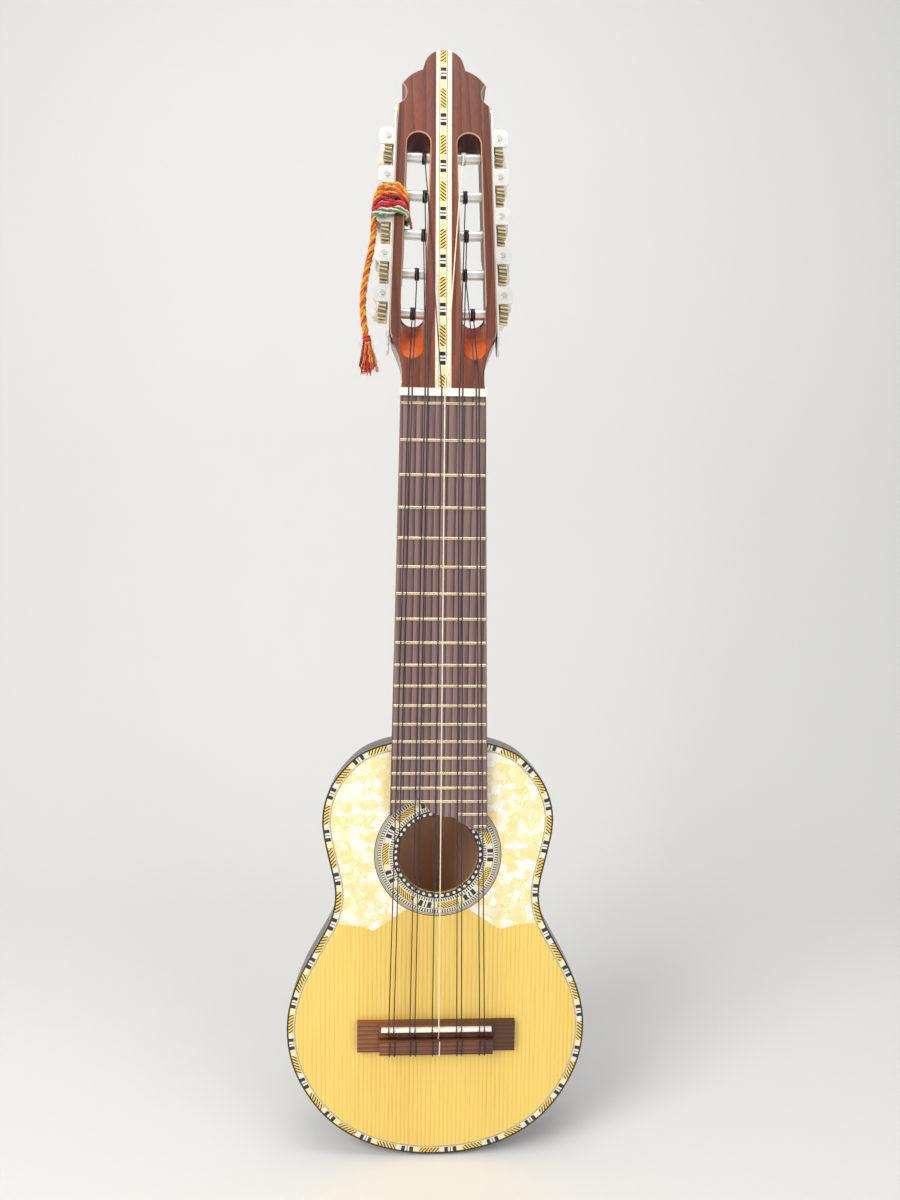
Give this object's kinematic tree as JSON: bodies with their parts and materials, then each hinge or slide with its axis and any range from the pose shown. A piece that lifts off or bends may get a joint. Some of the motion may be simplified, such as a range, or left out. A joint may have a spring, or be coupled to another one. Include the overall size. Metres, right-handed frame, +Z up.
{
  "type": "charango",
  "caption": "Small Andean lute with a rounded wooden bowl back, slotted headstock with geared tuners, inlaid soundboard and paired strings.",
  "frame": {"origin": "neck cradle point: on the centre plane at the headstock end of the nut, in the plane of the soundboard's top face, where a wall hanger or stand yoke takes the neck under the headstock's flare", "axes": "+Z up the neck towards the headstock, -Y out of the soundboard towards the player's audience, +X to the right of someone facing the soundboard"},
  "size_m": [0.181, 0.0767, 0.6691],
  "materials": {
    "bowl": "dark brown lacquered hardwood",
    "neck": "reddish-brown cedar or mahogany, gloss lacquer",
    "inlay": "dyed wood marquetry, black, white and yellow",
    "fretboard": "rosewood, oiled",
    "fret_wire": "nickel silver",
    "bone": null,
    "spruce": "yellow-orange lacquered spruce",
    "spruce_inside": "bare spruce",
    "binding": "black binding",
    "pearloid": "pearloid sheet",
    "bridge_wood": "rosewood",
    "string_nylon": "dyed nylon monofilament, one string clear white",
    "nickel": "nickel-plated steel",
    "gear_brass": "plated brass",
    "button_pearl": "pearl plastic",
    "yarn": "dyed wool yarn in yellow, orange and red"
  },
  "bodies": {
    "root": {"neck": "neck", "headstock_inlay": "inlay", "fretboard": "fretboard", "frets": "fret_wire", "nut": "bone", "bowl": "bowl", "soundboard": "spruce", "edge_binding": "binding", "edge_marquetry": "inlay", "rosette": "inlay", "pearloid_plates": "pearloid", "bridge": "bridge_wood", "saddle": "bone", "braces": "spruce_inside", "strings": "string_nylon", "tuner_plates": "nickel", "plate_screws": "nickel", "yarn_wrap": "yarn", "yarn_cord": "yarn", "yarn_tassel": "yarn"},
    "tuner_key_left_1": {"worm_shaft_left_1": "nickel", "button_left_1": "button_pearl"},
    "string_roller_left_1": {"gear_left_1": "gear_brass", "string_post_left_1": "nickel"},
    "tuner_key_left_2": {"worm_shaft_left_2": "nickel", "button_left_2": "button_pearl"},
    "string_roller_left_2": {"gear_left_2": "gear_brass", "string_post_left_2": "nickel"},
    "tuner_key_left_3": {"worm_shaft_left_3": "nickel", "button_left_3": "button_pearl"},
    "string_roller_left_3": {"gear_left_3": "gear_brass", "string_post_left_3": "nickel"},
    "tuner_key_left_4": {"worm_shaft_left_4": "nickel", "button_left_4": "button_pearl"},
    "string_roller_left_4": {"gear_left_4": "gear_brass", "string_post_left_4": "nickel"},
    "tuner_key_left_5": {"worm_shaft_left_5": "nickel", "button_left_5": "button_pearl"},
    "string_roller_left_5": {"gear_left_5": "gear_brass", "string_post_left_5": "nickel"},
    "tuner_key_right_1": {"worm_shaft_right_1": "nickel", "button_right_1": "button_pearl"},
    "string_roller_right_1": {"gear_right_1": "gear_brass", "string_post_right_1": "nickel"},
    "tuner_key_right_2": {"worm_shaft_right_2": "nickel", "button_right_2": "button_pearl"},
    "string_roller_right_2": {"gear_right_2": "gear_brass", "string_post_right_2": "nickel"},
    "tuner_key_right_3": {"worm_shaft_right_3": "nickel", "button_right_3": "button_pearl"},
    "string_roller_right_3": {"gear_right_3": "gear_brass", "string_post_right_3": "nickel"},
    "tuner_key_right_4": {"worm_shaft_right_4": "nickel", "button_right_4": "button_pearl"},
    "string_roller_right_4": {"gear_right_4": "gear_brass", "string_post_right_4": "nickel"},
    "tuner_key_right_5": {"worm_shaft_right_5": "nickel", "button_right_5": "button_pearl"},
    "string_roller_right_5": {"gear_right_5": "gear_brass", "string_post_right_5": "nickel"}
  },
  "joints": [
    {"name": "turn_key_left_1", "type": "hinge", "parent": "root", "child": "tuner_key_left_1", "pos_m": [-0.03263, 0.03742, 0.14927], "axis": [0, 0.9781, -0.2079], "continuous": true},
    {"name": "turn_post_left_1", "type": "hinge", "parent": "root", "child": "string_roller_left_1", "pos_m": [-0.02835, 0.03561, 0.14075], "axis": [-0.9997, 0.0053, 0.0247], "continuous": true},
    {"name": "turn_key_left_2", "type": "hinge", "parent": "root", "child": "tuner_key_left_2", "pos_m": [-0.03325, 0.03237, 0.1255], "axis": [0, 0.9781, -0.2079], "continuous": true},
    {"name": "turn_post_left_2", "type": "hinge", "parent": "root", "child": "string_roller_left_2", "pos_m": [-0.02897, 0.03055, 0.11698], "axis": [-0.9997, 0.0053, 0.0247], "continuous": true},
    {"name": "turn_key_left_3", "type": "hinge", "parent": "root", "child": "tuner_key_left_3", "pos_m": [-0.03386, 0.02731, 0.10173], "axis": [0, 0.9781, -0.2079], "continuous": true},
    {"name": "turn_post_left_3", "type": "hinge", "parent": "root", "child": "string_roller_left_3", "pos_m": [-0.02958, 0.0255, 0.09321], "axis": [-0.9997, 0.0053, 0.0247], "continuous": true},
    {"name": "turn_key_left_4", "type": "hinge", "parent": "root", "child": "tuner_key_left_4", "pos_m": [-0.03448, 0.02226, 0.07796], "axis": [0, 0.9781, -0.2079], "continuous": true},
    {"name": "turn_post_left_4", "type": "hinge", "parent": "root", "child": "string_roller_left_4", "pos_m": [-0.0302, 0.02045, 0.06944], "axis": [-0.9997, 0.0053, 0.0247], "continuous": true},
    {"name": "turn_key_left_5", "type": "hinge", "parent": "root", "child": "tuner_key_left_5", "pos_m": [-0.03509, 0.01721, 0.05419], "axis": [0, 0.9781, -0.2079], "continuous": true},
    {"name": "turn_post_left_5", "type": "hinge", "parent": "root", "child": "string_roller_left_5", "pos_m": [-0.03081, 0.0154, 0.04567], "axis": [-0.9997, 0.0053, 0.0247], "continuous": true},
    {"name": "turn_key_right_1", "type": "hinge", "parent": "root", "child": "tuner_key_right_1", "pos_m": [0.03263, 0.03742, 0.14927], "axis": [0, -0.9781, 0.2079], "continuous": true},
    {"name": "turn_post_right_1", "type": "hinge", "parent": "root", "child": "string_roller_right_1", "pos_m": [0.02835, 0.03561, 0.14075], "axis": [0.9997, 0.0053, 0.0247], "continuous": true},
    {"name": "turn_key_right_2", "type": "hinge", "parent": "root", "child": "tuner_key_right_2", "pos_m": [0.03325, 0.03237, 0.1255], "axis": [0, -0.9781, 0.2079], "continuous": true},
    {"name": "turn_post_right_2", "type": "hinge", "parent": "root", "child": "string_roller_right_2", "pos_m": [0.02897, 0.03055, 0.11698], "axis": [0.9997, 0.0053, 0.0247], "continuous": true},
    {"name": "turn_key_right_3", "type": "hinge", "parent": "root", "child": "tuner_key_right_3", "pos_m": [0.03386, 0.02731, 0.10173], "axis": [0, -0.9781, 0.2079], "continuous": true},
    {"name": "turn_post_right_3", "type": "hinge", "parent": "root", "child": "string_roller_right_3", "pos_m": [0.02958, 0.0255, 0.09321], "axis": [0.9997, 0.0053, 0.0247], "continuous": true},
    {"name": "turn_key_right_4", "type": "hinge", "parent": "root", "child": "tuner_key_right_4", "pos_m": [0.03448, 0.02226, 0.07796], "axis": [0, -0.9781, 0.2079], "continuous": true},
    {"name": "turn_post_right_4", "type": "hinge", "parent": "root", "child": "string_roller_right_4", "pos_m": [0.0302, 0.02045, 0.06944], "axis": [0.9997, 0.0053, 0.0247], "continuous": true},
    {"name": "turn_key_right_5", "type": "hinge", "parent": "root", "child": "tuner_key_right_5", "pos_m": [0.03509, 0.01721, 0.05419], "axis": [0, -0.9781, 0.2079], "continuous": true},
    {"name": "turn_post_right_5", "type": "hinge", "parent": "root", "child": "string_roller_right_5", "pos_m": [0.03081, 0.0154, 0.04567], "axis": [0.9997, 0.0053, 0.0247], "continuous": true}
  ],
  "couplings": [
    {"joint": "turn_post_left_1", "follows": "turn_key_left_1", "ratio": -0.066667},
    {"joint": "turn_post_left_2", "follows": "turn_key_left_2", "ratio": -0.066667},
    {"joint": "turn_post_left_3", "follows": "turn_key_left_3", "ratio": -0.066667},
    {"joint": "turn_post_left_4", "follows": "turn_key_left_4", "ratio": -0.066667},
    {"joint": "turn_post_left_5", "follows": "turn_key_left_5", "ratio": -0.066667},
    {"joint": "turn_post_right_1", "follows": "turn_key_right_1", "ratio": -0.066667},
    {"joint": "turn_post_right_2", "follows": "turn_key_right_2", "ratio": -0.066667},
    {"joint": "turn_post_right_3", "follows": "turn_key_right_3", "ratio": -0.066667},
    {"joint": "turn_post_right_4", "follows": "turn_key_right_4", "ratio": -0.066667},
    {"joint": "turn_post_right_5", "follows": "turn_key_right_5", "ratio": -0.066667}
  ]
}
